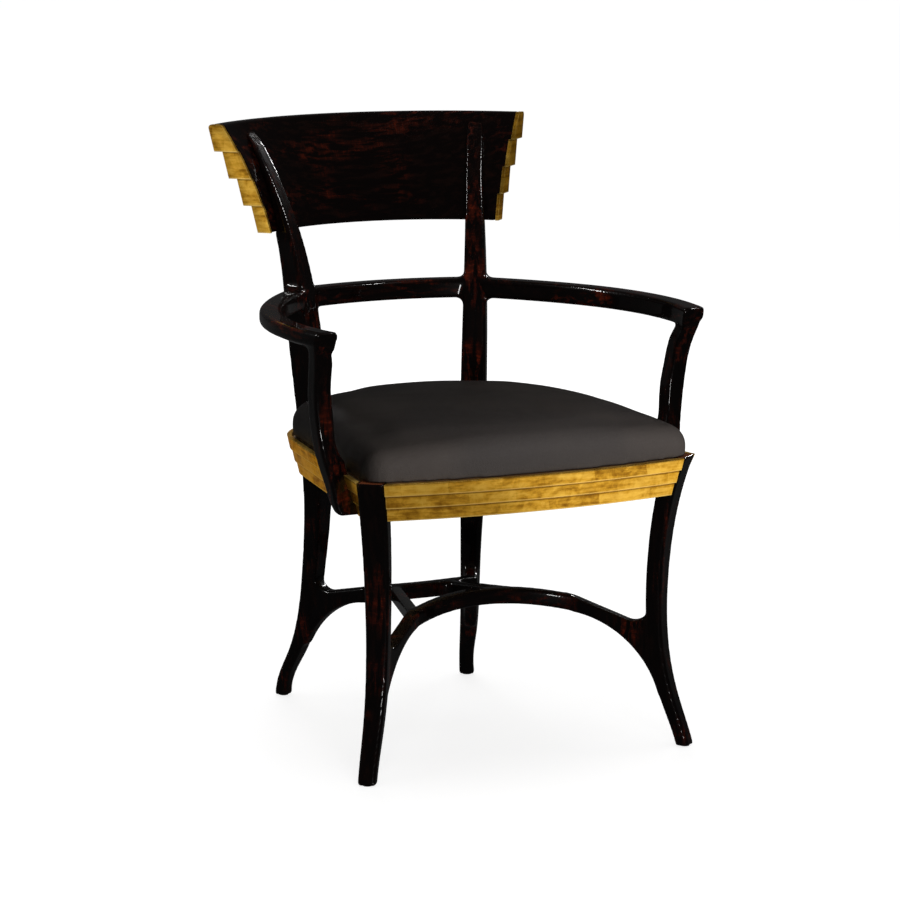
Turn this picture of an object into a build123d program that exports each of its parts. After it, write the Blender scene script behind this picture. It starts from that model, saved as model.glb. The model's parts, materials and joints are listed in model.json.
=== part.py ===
from build123d import *
import os
from math import asin, atan2, cos, hypot, radians, sin, sqrt, tan

os.makedirs("parts", exist_ok=True)

# The chair faces -Y and stands on Z = 0, with X = 0 as its plane of symmetry. Sizes are in millimetres.

# Overall
chair_depth = 720
seat_height = 440
glue_line = 0.15
edge_round = 4

# Front leg, as stations up its curve: height, x, y, width across its face, depth
leg_top_width = 40
leg_top_depth = 35
leg_turn = 39
leg_top_x = 246.7
leg_top_y = -308
fork_root = (226.5, -280.5)
leg_glide = 1
front_leg_stations = [
    (leg_glide, 259, -312.5, 26, 20.5),
    (60, 245, -298, 28, 22),
    (125, 232, -285.5, 30.5, 24),
    (210, fork_root[0], fork_root[1], 33.5, 24.5),
    (300, 229, -284.5, 37, 25.5),
    (372, 236, -293.5, 40, 27.5),
    (seat_height, leg_top_x, leg_top_y, leg_top_width, leg_top_depth),
]

# Rear stile, leg and back post in one length: height, x, y, width, depth
panel_top = 900
stile_turn = -30
stile_seat = (135.5, 156.5)
rear_fork_root = (135, 164)
stile_stations = [
    (leg_glide, 160, 229.5, 23.5, 19.5),
    (76, 148.3, 200.3, 26.5, 22),
    (150, 138.8, 174.5, 29.5, 25),
    (217, rear_fork_root[0], rear_fork_root[1], 31.5, 27),
    (313, 132.8, 153.4, 37, 30),
    (seat_height - 20, stile_seat[0], stile_seat[1], 39.5, 35),
    (600, 146.3, 172.8, 36.5, 42),
    (733, 159, 199.4, 30, 31),
    (815, 176, 236, 27, 30),
    (panel_top - 8, 200, 283, 24, 30),
]

stile_nose_front = 9
stile_nose_slope = 45

# Stepped back panel, a fan turned about an upright axis
panel_tiers = 4
panel_tier_height = 41
panel_top_radius = 380
panel_tier_lean = 10.5
panel_tier_step = 11.5
panel_top_front = 357
panel_mid_front = 311
panel_low_front = 282
panel_half_angle = 45.2
panel_tier_end_step = 0.65
panel_end_angle = 1.0
panel_top_round = 5

# Arms and back rail, one hoop in plan
arm_top = 650
arm_height = 30
arm_outer_height = 19
arm_width = 33
arm_corner = 4.5
arm_under_flat = 8
hoop_joint = 21
rail_middle_y = 208
hoop_root = (149.5, 178.5)
arm_swell = (203.5, 115.5)
arm_bend = (259.5, 27)
arm_tip = (294.5, -265)
arm_tip_rake = 20

# Arm post: height, x, y, width across, depth
post_foot_height = 384
arm_post_stations = [
    (post_foot_height, 249, -252.5, 48, 15),
    (410, 256.5, -238, 50, 28),
    (seat_height, 263.5, -226.5, 45, 33),
    (470, 278, -217.5, 27, 33),
    (510, 283.8, -213.5, 26.5, 32),
    (550, 287.7, -215.5, 26.5, 31.5),
    (585, 290.3, -223.5, 26.5, 31),
    (612, 294.5, -234.5, 27, 29.5),
    (arm_top - arm_outer_height + 2, 297, -243.5, 27.5, 28),
]

# Seat frame
apron_height = 57
apron_tiers = 3
apron_tier_step = 2.6
apron_tier_slope = 4.2
moulding_thickness = 8
rail_inset = 34
rail_height = 48
rail_drop = 4
seat_back_y = 191
seat_back_corner = 150
seat_side_x = 217
seat_side_y = 58
block_thickness = 28
block_height = 34
block_gap = 12
seat_screw_aside = 8

# Upholstered seat
board_thickness = 12
board_inset = 16
leather = 2
fit_gap = 0.3
stile_notch_gap = 1
cushion_room_inset = 4.5
cushion_inset = 5.5
cushion_corner = 37
cushion_tuck = 4
crown_height = 513
crown_middle_y = -120
crown_radius = 1690
crown_roll = 34

# Stretcher ring between the leg forks
stretcher_width = 21
stretcher_height = 24
front_kink = (132, -192.5)
front_kink_low = 193.5
front_bar_bow = 37
front_bar_rise = 15
rear_kink = (90, 70)
rear_kink_low = 174.5
rear_bar_bow = 15
rear_bar_rise = 2
side_bar_width = 18
side_bar_front_x = 124
side_bar_rear_x = 48
side_bar_height = 22
stretcher_round = 3.5
front_arch_start = (-6, 74)
front_arch_middle = (38, 149)
front_crotch = (11, 176)
rear_arch_start = (-14, 88)
rear_arch_middle = (34, 147)
rear_crotch = (10, 178)
crotch_back = 60
crotch_round = 24

# Fixings
dowel_diameter = 8
dowel_length = 36
ring_dowel_diameter = 6
kink_dowel_drop = 5
side_dowel_lift = 4
dowel_chamfer = 1
dowel_clear = 0.1
dowel_end_clear = 1
dowel_high_drop = 15
dowel_low_drop = 30
front_rail_joint = (222, -312)
side_rail_joint = (243.4, -279.5)
stile_dowel_set_in = 12
screw_diameter = 4
screw_head = 8
screw_head_height = 3
panel_screw_angle = 35
panel_screw_sink = 3
panel_screw_length = 28
post_screw_heights = (402, 424)
post_screw_ys = (-241, -232)
post_screw_length = 38
bolt_length = 55
seat_screw_length = 42
glide_diameter = 14
glide_pin = 3
glide_pin_length = 14


def write_piece(piece, name):
    """Labels one finished piece and writes its STEP file."""
    piece.part.label = name
    export_step(piece.part, f"parts/{name}.step")


def write_pair(right, name):
    """Writes the right-hand piece and its mirror image for the left."""
    with BuildPart() as left:
        mirror(right.part, about=Plane.YZ)
    write_piece(right, f"{name}_right")
    write_piece(left, f"{name}_left")
    return left


def turned_plane(x, y, z, turn):
    """A level plane at a point, turned in plan."""
    return Plane((x, y, z), x_dir=(cos(radians(turn)), sin(radians(turn)), 0))


def station_loft(stations, turn, corner, grow=0.0):
    """A curved member lofted through rounded rectangles, fatter all round by grow."""
    with BuildPart() as member:
        for height, x, y, width, depth in stations:
            with BuildSketch(turned_plane(x, y, height, turn)):
                RectangleRounded(width + 2 * grow, depth + 2 * grow, corner + grow)
        loft()
    return member


def both_sides(right):
    """A right-hand cutter joined with its mirror image."""
    with BuildPart() as pair:
        add(right.part)
        mirror(right.part, about=Plane.YZ)
    return pair


def upright_plane(start, end):
    """A plane that stands on the line from start to end, with its y upwards."""
    length = hypot(end[0] - start[0], end[1] - start[1])
    run = ((end[0] - start[0]) / length, (end[1] - start[1]) / length, 0)
    return Plane((start[0], start[1], 0), x_dir=run, z_dir=(run[1], -run[0], 0))


def along(point, direction, distance):
    """The point at a distance from another in a direction, in plan."""
    return (point[0] + direction[0] * distance, point[1] + direction[1] * distance)


def bar_radius(half_chord, bow):
    """The radius of an arc from half its chord and its rise."""
    return (half_chord**2 + bow**2) / (2 * bow)


# Directions across and out of the front leg and of the stile, in plan
leg_across = (cos(radians(leg_turn)), sin(radians(leg_turn)))
leg_out = (leg_across[1], -leg_across[0])
stile_across = (cos(radians(stile_turn)), sin(radians(stile_turn)))
stile_out = (-stile_across[1], stile_across[0])

# Seat outline: the front arc runs into the outer faces of the front legs
seat_front_y = -chair_depth / 2
leg_face = along((leg_top_x, leg_top_y), leg_out, leg_top_depth / 2)
leg_front_edge = along(leg_face, leg_across, -leg_top_width / 2)
leg_side_edge = along(leg_face, leg_across, leg_top_width / 2)
side_slope = (seat_side_x - leg_side_edge[0]) / (seat_side_y - leg_side_edge[1])
rear_corner_x = leg_side_edge[0] + side_slope * (seat_back_y - leg_side_edge[1])


def seat_outline(inset):
    """Plan of the seat frame at the top of the apron, drawn in by inset."""
    with BuildSketch() as outline:
        with BuildLine():
            ThreePointArc((-leg_front_edge[0], leg_front_edge[1]), (0, seat_front_y), leg_front_edge)
            Polyline(
                leg_front_edge,
                leg_side_edge,
                (rear_corner_x, seat_back_y),
                (-rear_corner_x, seat_back_y),
                (-leg_side_edge[0], leg_side_edge[1]),
                (-leg_front_edge[0], leg_front_edge[1]),
            )
        make_face()
        fillet(outline.vertices().group_by(Axis.Y)[-1], seat_back_corner)
        if inset:
            offset(amount=-inset, kind=Kind.INTERSECTION, mode=Mode.REPLACE)
    return outline.sketch


def cushion_outline(inset):
    """Plan of the upholstered seat, drawn in by inset, with rounded corners."""
    front_sag = (leg_front_edge[1] - seat_front_y) / leg_front_edge[0] ** 2
    corner_x = leg_side_edge[0]
    corner_y = seat_front_y + front_sag * corner_x**2
    with BuildSketch() as outline:
        with BuildLine():
            ThreePointArc((-corner_x, corner_y), (0, seat_front_y), (corner_x, corner_y))
            Polyline(
                (corner_x, corner_y),
                (rear_corner_x, seat_back_y),
                (-rear_corner_x, seat_back_y),
                (-corner_x, corner_y),
            )
        make_face()
        offset(amount=-inset, kind=Kind.INTERSECTION, mode=Mode.REPLACE)
        fillet(outline.vertices().group_by(Axis.Y)[-1], seat_back_corner - inset)
        fillet(outline.vertices().group_by(Axis.Y)[0], cushion_corner + cushion_inset - inset)
    return outline.sketch


def rail_face(height):
    """Inset of the leaning face between the gilded apron and the rails behind it, at a height."""
    lean = apron_tier_slope + apron_tier_step
    return moulding_thickness + (seat_height - height) * apron_tiers * lean / apron_height


def rail_core(bottom, top, grow):
    """The seat frame inside the apron's back, between two heights, grown by a glue line."""
    with BuildPart() as core:
        for height in (bottom, top):
            with BuildSketch(Plane.XY.offset(height)):
                add(seat_outline(rail_face(height) + grow))
        loft(ruled=True)
    return core


def corridor(centre, out, turn, width, inward, outward):
    """An upright slot on both sides, as wide as a member, along its outward direction."""
    middle = along(centre, out, (outward - inward) / 2)
    with BuildPart() as slot:
        with BuildSketch(turned_plane(*middle, seat_height - 2 * apron_height, turn)):
            Rectangle(width, inward + outward)
        extrude(amount=3 * apron_height)
        mirror(about=Plane.YZ)
    return slot


# Cutters that leave a glue line round the curved members
front_legs_room = both_sides(station_loft(front_leg_stations, leg_turn, edge_round, glue_line))
stiles_room = both_sides(station_loft(stile_stations, stile_turn, edge_round, glue_line))
arm_posts_room = both_sides(station_loft(arm_post_stations, 0, edge_round, glue_line))


def dowel_planes(places):
    """Planes across the dowels, for the right-hand places and their mirror images."""
    planes = []
    for (x, y, z), (run_x, run_y, run_z) in places:
        planes.append(Plane((x, y, z), z_dir=(run_x, run_y, run_z)))
        planes.append(Plane((-x, y, z), z_dir=(-run_x, run_y, run_z)))
    return planes


def dowel_set(places, diameter=dowel_diameter):
    """Plain dowels with chamfered ends, one at each place and its mirror image."""
    with BuildPart() as dowels:
        with Locations(*dowel_planes(places)):
            Cylinder(diameter / 2, dowel_length)
        chamfer(dowels.edges().filter_by(GeomType.CIRCLE), dowel_chamfer)
    return dowels


def dowel_holes(places, diameter=dowel_diameter):
    """The blind holes that the dowels of dowel_set sit in."""
    with BuildPart() as holes:
        with Locations(*dowel_planes(places)):
            Cylinder(diameter / 2 + dowel_clear, dowel_length + 2 * dowel_end_clear)
    return holes


def screw_set(places, length, grow=0.0):
    """Countersunk screws, each with its head's flat top at the place and its shank along the direction."""
    with BuildPart() as screws:
        for plane in dowel_planes(places):
            with BuildSketch(plane):
                Circle(screw_head / 2 + grow)
            with BuildSketch(plane.offset(screw_head_height)):
                Circle(screw_diameter / 2 + grow)
            loft(ruled=True)
            with BuildSketch(plane):
                Circle(screw_diameter / 2 + grow)
            extrude(amount=length + 2 * grow)
    return screws


# Slots for the legs and stiles across the seat frame
leg_slots = corridor(
    (leg_top_x, leg_top_y),
    leg_out,
    leg_turn,
    leg_top_width + 2 * glue_line,
    leg_top_depth / 2,
    leg_top_depth,
)
stile_width = stile_stations[5][3]
stile_depth = stile_stations[5][4]
stile_slots = corridor(
    stile_seat, stile_out, stile_turn, stile_width + 2 * glue_line, rail_inset, stile_depth
)

# Slots for the arm posts, narrower than the posts and through the whole height of the apron
post_slot_stations = []
for height, station in (
    (seat_height - apron_height - glue_line, arm_post_stations[0]),
    (seat_height + glue_line, arm_post_stations[2]),
):
    post_slot_stations.append((height, *station[1:4], station[4] - 2 * edge_round))
post_slots = both_sides(station_loft(post_slot_stations, 0, glue_line))

# Arms and back rail share one hoop, which passes through the stiles
hoop_middle = arm_top - arm_height / 2
with BuildLine() as arm_path:
    sweep_out = ThreePointArc((*hoop_root, hoop_middle), (*arm_swell, hoop_middle), (*arm_bend, hoop_middle))
    TangentArc(sweep_out @ 1, (*arm_tip, hoop_middle), tangent=sweep_out % 1)
with BuildLine() as rail_path:
    ThreePointArc(
        (-hoop_root[0], hoop_root[1], hoop_middle),
        (0, rail_middle_y, hoop_middle),
        (*hoop_root, hoop_middle),
    )
arm_line = arm_path.wire()
rail_line = rail_path.wire()
arm_joint = arm_line.position_at(hoop_joint, position_mode=PositionMode.LENGTH)
arm_joint_run = arm_line.tangent_at(hoop_joint, position_mode=PositionMode.LENGTH)
rail_joint = rail_line.position_at(rail_line.length - hoop_joint, position_mode=PositionMode.LENGTH)
rail_joint_run = rail_line.tangent_at(rail_line.length - hoop_joint, position_mode=PositionMode.LENGTH)


def hoop_section(line, grow=0.0):
    """Section of the hoop at the start of its line: flat on top, drawn up towards the outside below."""
    run = line.tangent_at(0)
    point = line.position_at(0)
    outer = arm_width / 2
    top = arm_height / 2
    with BuildSketch(Plane(point, x_dir=(-run.Y, run.X, 0), z_dir=run)) as section:
        with BuildLine():
            Polyline(
                (-outer, -top),
                (-outer + arm_under_flat, -top),
                (outer, top - arm_outer_height),
                (outer, top),
                (-outer, top),
                close=True,
            )
        make_face()
        fillet(section.vertices(), arm_corner)
        if grow:
            offset(amount=grow, mode=Mode.REPLACE)
    return section.sketch


# Places of the dowels on the right-hand side
front_kink_dowel = front_kink_low + stretcher_height / 2 - kink_dowel_drop
rear_kink_dowel = rear_kink_low + stretcher_height / 2 - kink_dowel_drop
front_branch_run = (front_kink[0] - fork_root[0], front_kink[1] - fork_root[1], 0)
rear_branch_run = (rear_kink[0] - rear_fork_root[0], rear_kink[1] - rear_fork_root[1], 0)
stretcher_places = [
    ((*front_kink, front_kink_dowel), front_branch_run),
    ((*rear_kink, rear_kink_dowel), rear_branch_run),
]
stile_joint = along(stile_seat, stile_out, -stile_dowel_set_in)
dowel_high = seat_height - dowel_high_drop
seat_rail_places = []
for height in (seat_height - dowel_low_drop, dowel_high):
    seat_rail_places.append(((*front_rail_joint, height), (1, 0, 0)))
    seat_rail_places.append(((*side_rail_joint, height), (side_slope, 1, 0)))
for side in (1, -1):
    stile_face = along(stile_joint, stile_across, side * stile_width / 2)
    seat_rail_places.append(((*stile_face, dowel_high), (*stile_across, 0)))
post_top = arm_post_stations[-2]
hoop_places = [
    (tuple(arm_joint), tuple(arm_joint_run)),
    (tuple(rail_joint), tuple(rail_joint_run)),
    ((post_top[1], post_top[2], arm_top - arm_height), (0, 0, 1)),
]
stretcher_holes = dowel_holes(stretcher_places, ring_dowel_diameter)
seat_rail_holes = dowel_holes(seat_rail_places)
hoop_holes = dowel_holes(hoop_places)

# Bolts from the corner blocks into the legs and stiles, and screws from the blocks up into the seat board
rail_top = seat_height - rail_drop
front_block_start = leg_top_depth / 2 + block_gap
rear_block_start = stile_depth / 2 + block_gap
bolt_height = seat_height - (dowel_low_drop + dowel_high_drop) / 2
bolt_places = []
seat_screw_places = []
for corner, out, across, start in (
    ((leg_top_x, leg_top_y), leg_out, leg_across, front_block_start),
    (stile_seat, stile_out, stile_across, rear_block_start),
):
    inner_face = along(corner, out, -start - block_thickness)
    middle = along(along(corner, out, -start - block_thickness / 2), across, seat_screw_aside)
    bolt_places.append(((*inner_face, bolt_height), (*out, 0)))
    seat_screw_places.append(((*middle, rail_top - block_height), (0, 0, 1)))
bolt_holes = screw_set(bolt_places, bolt_length, dowel_clear)
seat_screw_holes = screw_set(seat_screw_places, seat_screw_length, dowel_clear)

# Back panel profile in the radial plane: smooth hollow front, stepped back
panel_lean = atan2(panel_tier_lean, panel_tier_height)
panel_round_loss = panel_top_round * (tan(panel_lean) + 1 / cos(panel_lean) - 1)
panel_axis_y = chair_depth / 2 - panel_top_radius + panel_round_loss
panel_bottom = panel_top - panel_tiers * panel_tier_height
panel_axis = Axis((0, panel_axis_y, 0), (0, 0, 1))
panel_middle = panel_top - panel_tiers * panel_tier_height / 2


def radial_plane(angle):
    """The upright plane that leaves the panel's axis at an angle from the back, +X side positive."""
    run = (sin(radians(angle)), cos(radians(angle)), 0)
    return Plane((0, panel_axis_y, 0), x_dir=run, z_dir=(run[1], -run[0], 0))


def panel_front_arc(gap):
    """The hollow front of the panel, moved forward by gap."""
    return ThreePointArc(
        (panel_low_front - gap, panel_bottom),
        (panel_mid_front - gap, panel_middle),
        (panel_top_front - gap, panel_top),
    )


def panel_tier(tier, start, turn):
    """One tier of the panel, turned from an angle on the right towards the left."""
    high = panel_top - tier * panel_tier_height
    low = high - panel_tier_height
    rear_high = panel_top_radius - tier * (panel_tier_lean + panel_tier_step)
    rear_low = rear_high - panel_tier_lean
    with BuildPart() as slice_of_panel:
        with BuildSketch(radial_plane(start)) as profile:
            with BuildLine():
                front = panel_front_arc(0)
                Polyline(
                    front @ 1,
                    (panel_top_radius, panel_top),
                    (panel_top_radius, panel_bottom),
                    front @ 0,
                )
            make_face()
            with BuildLine():
                Polyline((0, low), (rear_low, low), (rear_high, high), (0, high), close=True)
            make_face(mode=Mode.INTERSECT)
            if tier == 0:
                top_corners = profile.vertices().group_by(Axis.Y)[-1]
                fillet(top_corners, panel_top_round)
        revolve(axis=panel_axis, revolution_arc=turn)
    return slice_of_panel


# Screws that hold the panel to the stiles, from behind
panel_screw_places = []
for tier in (2, 3):
    high = panel_top - (tier + 0.5) * panel_tier_height
    rear = panel_top_radius - tier * (panel_tier_lean + panel_tier_step) - panel_tier_lean / 2
    out = (sin(radians(panel_screw_angle)), cos(radians(panel_screw_angle)))
    spot = along((0, panel_axis_y), out, rear - panel_screw_sink)
    panel_screw_places.append(((*spot, high), (-out[0], -out[1], 0)))

# Leg forks, drawn on upright planes: arch below, rounded crotch above, end at the stretcher
def fork_branch(root, kink, low, arch_start, arch_middle, crotch):
    """The branch of a leg's fork, arched below and rounded in the crotch, as far as its ring joint."""
    length = hypot(kink[0] - root[0], kink[1] - root[1])
    reach = length + stretcher_width
    standing = upright_plane(root, kink)
    with BuildPart() as branch:
        with BuildSketch(standing) as outline:
            with BuildLine():
                arch = ThreePointArc(arch_start, arch_middle, (length, low))
                Polyline(
                    arch @ 1,
                    (reach, low),
                    (reach, low + stretcher_height),
                    (length, low + stretcher_height),
                    crotch,
                    (crotch[0], crotch[1] + crotch_back),
                    (0, crotch[1] + crotch_back),
                    arch_start,
                )
            make_face()
            corner = outline.vertices().sort_by(lambda v: hypot(v.X - crotch[0], v.Y - crotch[1]))[0]
            fillet(corner, crotch_round)
        extrude(amount=stretcher_width / 2, both=True)
        sides = branch.faces().filter_by(Axis((0, 0, 0), standing.z_dir))
        fillet(sides.edges(), stretcher_round)
    return branch


def unit(x, y):
    """A plan direction of length one."""
    return (x / hypot(x, y), y / hypot(x, y))


def kink_plane(kink, branch_run, bow, curve_sign):
    """The upright joint between a leg's fork and a stretcher, square to their mean direction."""
    half_turn = asin(kink[0] / bar_radius(kink[0], bow))
    fork_run = unit(branch_run[0], branch_run[1])
    bar_run = (-cos(half_turn), curve_sign * sin(half_turn))
    mean = unit(fork_run[0] + bar_run[0], fork_run[1] + bar_run[1])
    return Plane((kink[0], kink[1], 0), z_dir=(mean[0], mean[1], 0))


def mirrored_plane(plane):
    """The mirror image of an upright plane in X = 0."""
    normal = plane.z_dir
    return Plane((-plane.origin.X, plane.origin.Y, plane.origin.Z), z_dir=(-normal.X, normal.Y, normal.Z))


front_joint = kink_plane(front_kink, front_branch_run, front_bar_bow, 1)
rear_joint = kink_plane(rear_kink, rear_branch_run, rear_bar_bow, -1)


def stretcher_bar(kink, low, bow, rise, curve_sign, joint):
    """A bar curved in plan and arched in elevation, sawn both ways and cut at the two joints."""
    plan_radius = bar_radius(kink[0], bow)
    arch_radius = bar_radius(kink[0], rise)
    plan_centre = kink[1] + curve_sign * (bow - plan_radius)
    arch_centre = low + rise - arch_radius
    reach = kink[0] + 2 * stretcher_width
    with BuildPart() as bar:
        with BuildSketch(Plane.XY.offset(low)):
            with Locations((0, plan_centre)):
                Circle(plan_radius + stretcher_width / 2)
                Circle(plan_radius - stretcher_width / 2, mode=Mode.SUBTRACT)
            with Locations((0, kink[1])):
                Rectangle(2 * reach, 4 * (bow + stretcher_width), mode=Mode.INTERSECT)
        extrude(amount=2 * (rise + stretcher_height), both=True)
        with BuildSketch(Plane.XZ):
            with Locations((0, arch_centre)):
                Circle(arch_radius + stretcher_height)
                Circle(arch_radius, mode=Mode.SUBTRACT)
        extrude(amount=chair_depth, both=True, mode=Mode.INTERSECT)
        split(bisect_by=joint, keep=Keep.TOP)
        split(bisect_by=mirrored_plane(joint), keep=Keep.TOP)
        fillet(bar.edges().filter_by(lambda edge: edge.length > kink[0]), stretcher_round)
    return bar


# Front legs
front_branch = fork_branch(
    fork_root, front_kink, front_kink_low, front_arch_start, front_arch_middle, front_crotch
)
with BuildPart() as front_leg_right:
    add(station_loft(front_leg_stations, leg_turn, edge_round).part)
    add(front_branch.part)
    split(bisect_by=front_joint, keep=Keep.BOTTOM)
    for holes in (stretcher_holes, seat_rail_holes, bolt_holes):
        add(holes.part, mode=Mode.SUBTRACT)
    with Locations((*front_leg_stations[0][1:3], leg_glide)):
        Cylinder(glide_pin / 2 + dowel_clear, 2 * glide_pin_length + 2, mode=Mode.SUBTRACT)
write_pair(front_leg_right, "front_leg")

# Rear stiles
with BuildPart() as panel_room:
    with BuildSketch(radial_plane(panel_half_angle)):
        with BuildLine():
            hollow = panel_front_arc(glue_line)
            Polyline(
                hollow @ 1,
                (panel_top_front - glue_line, panel_top + panel_tier_height),
                (panel_top_radius + panel_tier_height, panel_top + panel_tier_height),
                (panel_top_radius + panel_tier_height, panel_bottom - glue_line),
                (panel_low_front - glue_line, panel_bottom - glue_line),
                hollow @ 0,
            )
        make_face()
    revolve(axis=panel_axis, revolution_arc=2 * panel_half_angle)
rear_branch = fork_branch(
    rear_fork_root, rear_kink, rear_kink_low, rear_arch_start, rear_arch_middle, rear_crotch
)
stile_top = stile_stations[-1]
stile_nose = Plane(
    (*along(stile_top[1:3], stile_out, -stile_nose_front), stile_top[0]),
    z_dir=(
        -stile_out[0] * sin(radians(stile_nose_slope)),
        -stile_out[1] * sin(radians(stile_nose_slope)),
        cos(radians(stile_nose_slope)),
    ),
)
with BuildPart() as rear_stile_right:
    add(station_loft(stile_stations, stile_turn, edge_round).part)
    add(panel_room.part, mode=Mode.SUBTRACT)
    split(bisect_by=stile_nose, keep=Keep.BOTTOM)
    add(rear_branch.part)
    split(bisect_by=rear_joint, keep=Keep.BOTTOM)
    for holes in (stretcher_holes, seat_rail_holes, hoop_holes, bolt_holes):
        add(holes.part, mode=Mode.SUBTRACT)
    add(screw_set(panel_screw_places, panel_screw_length, dowel_clear).part, mode=Mode.SUBTRACT)
    with Locations((*stile_stations[0][1:3], leg_glide)):
        Cylinder(glide_pin / 2 + dowel_clear, 2 * glide_pin_length + 2, mode=Mode.SUBTRACT)
write_pair(rear_stile_right, "rear_stile")

# Foot glides: a disc under each foot, with a pin driven into the wood
with BuildPart() as foot_glides:
    for foot in (front_leg_stations[0], stile_stations[0]):
        for side in (1, -1):
            with Locations((side * foot[1], foot[2], 0)):
                Cylinder(glide_diameter / 2, leg_glide, align=(Align.CENTER, Align.CENTER, Align.MIN))
                Cylinder(
                    glide_pin / 2,
                    leg_glide + glide_pin_length,
                    align=(Align.CENTER, Align.CENTER, Align.MIN),
                )
write_piece(foot_glides, "foot_glides")

# Stretcher ring
front_stretcher = stretcher_bar(front_kink, front_kink_low, front_bar_bow, front_bar_rise, 1, front_joint)
rear_stretcher = stretcher_bar(rear_kink, rear_kink_low, rear_bar_bow, rear_bar_rise, -1, rear_joint)


def bar_height(x, kink, low, rise):
    """Height of the middle of an arched bar at a place along it."""
    radius = bar_radius(kink[0], rise)
    return low + rise - radius + sqrt(radius**2 - x**2) + stretcher_height / 2


def bar_face(x, kink, bow, curve_sign):
    """Depth of the ring-side face of a curved bar at a place along it."""
    radius = bar_radius(kink[0], bow)
    centre = kink[1] + curve_sign * (bow - radius)
    return centre + curve_sign * sqrt((radius + stretcher_width / 2) ** 2 - x**2)


side_front_end = (
    side_bar_front_x,
    bar_face(side_bar_front_x, front_kink, front_bar_bow, 1),
    bar_height(side_bar_front_x, front_kink, front_kink_low, front_bar_rise),
)
side_rear_end = (
    side_bar_rear_x,
    bar_face(side_bar_rear_x, rear_kink, rear_bar_bow, -1),
    bar_height(side_bar_rear_x, rear_kink, rear_kink_low, rear_bar_rise),
)
side_bar_run = tuple(b - a for a, b in zip(side_front_end, side_rear_end))
side_bar_places = []
for x, y, z in (side_front_end, side_rear_end):
    side_bar_places.append(((x, y, z + side_dowel_lift), side_bar_run))
side_bar_holes = dowel_holes(side_bar_places, ring_dowel_diameter)
with BuildPart() as side_stretcher_right:
    start = Plane(side_front_end, x_dir=(side_bar_run[1], -side_bar_run[0], 0), z_dir=side_bar_run)
    with BuildSketch(start):
        RectangleRounded(side_bar_width, side_bar_height, stretcher_round)
    extrude(amount=Vector(*side_bar_run).length + stretcher_width)
    with BuildSketch(start):
        RectangleRounded(side_bar_width, side_bar_height, stretcher_round)
    extrude(amount=-stretcher_width)
    for kink, bow, sign in ((front_kink, front_bar_bow, 1), (rear_kink, rear_bar_bow, -1)):
        radius = bar_radius(kink[0], bow)
        with Locations((0, kink[1] + sign * (bow - radius), 0)):
            Cylinder(radius + stretcher_width / 2 + glue_line, chair_depth, mode=Mode.SUBTRACT)
    add(side_bar_holes.part, mode=Mode.SUBTRACT)
write_pair(side_stretcher_right, "side_stretcher")
for bar, name in ((front_stretcher, "front_stretcher"), (rear_stretcher, "rear_stretcher")):
    with BuildPart() as drilled_bar:
        add(bar.part)
        add(stretcher_holes.part, mode=Mode.SUBTRACT)
        add(side_bar_holes.part, mode=Mode.SUBTRACT)
    write_piece(drilled_bar, name)
write_piece(dowel_set(stretcher_places + side_bar_places, ring_dowel_diameter), "stretcher_dowels")

# Back panel with its gilded ends
with BuildPart() as back_panel:
    for tier in range(panel_tiers):
        half = panel_half_angle - tier * panel_tier_end_step - panel_end_angle
        add(panel_tier(tier, half, 2 * half).part)
    add(screw_set(panel_screw_places, panel_screw_length, dowel_clear).part, mode=Mode.SUBTRACT)
    for plane in dowel_planes(panel_screw_places):
        with BuildSketch(plane):
            Circle(screw_head / 2 + dowel_clear)
        extrude(amount=-panel_tier_step, mode=Mode.SUBTRACT)
write_piece(back_panel, "back_panel")
with BuildPart() as panel_end_right:
    for tier in range(panel_tiers):
        half = panel_half_angle - tier * panel_tier_end_step
        add(panel_tier(tier, half, panel_end_angle).part)
write_pair(panel_end_right, "gilded_panel_end")
write_piece(screw_set(panel_screw_places, panel_screw_length), "panel_screws")

# Back rail, arms and arm posts
with BuildPart() as back_rail:
    add(hoop_section(rail_line))
    sweep(path=rail_line)
    add(stiles_room.part, mode=Mode.SUBTRACT)
    add(hoop_holes.part, mode=Mode.SUBTRACT)
write_piece(back_rail, "back_rail")
with BuildPart() as arm_right:
    add(hoop_section(arm_line))
    sweep(path=arm_line)
    tip_front = Plane((0, arm_tip[1], arm_top), z_dir=(0, -1, -tan(radians(arm_tip_rake))))
    split(bisect_by=tip_front, keep=Keep.BOTTOM)
    add(stiles_room.part, mode=Mode.SUBTRACT)
    add(hoop_holes.part, mode=Mode.SUBTRACT)
write_pair(arm_right, "arm")
with BuildPart() as arm_room:
    add(hoop_section(arm_line, glue_line))
    sweep(path=arm_line)
post_screw_places = []
for height, y in zip(post_screw_heights, post_screw_ys):
    face_x = leg_side_edge[0] + side_slope * (y - leg_side_edge[1]) - rail_inset
    post_screw_places.append(((face_x, y, height), (1, -side_slope, 0)))
post_screw_holes = screw_set(post_screw_places, post_screw_length, dowel_clear)
with BuildPart() as arm_post_right:
    add(station_loft(arm_post_stations, 0, edge_round).part)
    add(rail_core(seat_height - 2 * apron_height, seat_height, 0).part, mode=Mode.SUBTRACT)
    with BuildSketch(Plane.XY.offset(seat_height)):
        add(seat_outline(cushion_room_inset))
    extrude(amount=2 * apron_height, mode=Mode.SUBTRACT)
    add(arm_room.part, mode=Mode.SUBTRACT)
    with Locations((post_top[1] - arm_width, post_top[2], arm_top - arm_height - glue_line)):
        Box(
            2 * arm_width,
            2 * arm_width,
            arm_height,
            align=(Align.CENTER, Align.CENTER, Align.MIN),
            mode=Mode.SUBTRACT,
        )
    for holes in (hoop_holes, post_screw_holes):
        add(holes.part, mode=Mode.SUBTRACT)
write_pair(arm_post_right, "arm_post")
write_piece(dowel_set(hoop_places), "arm_dowels")
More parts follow.
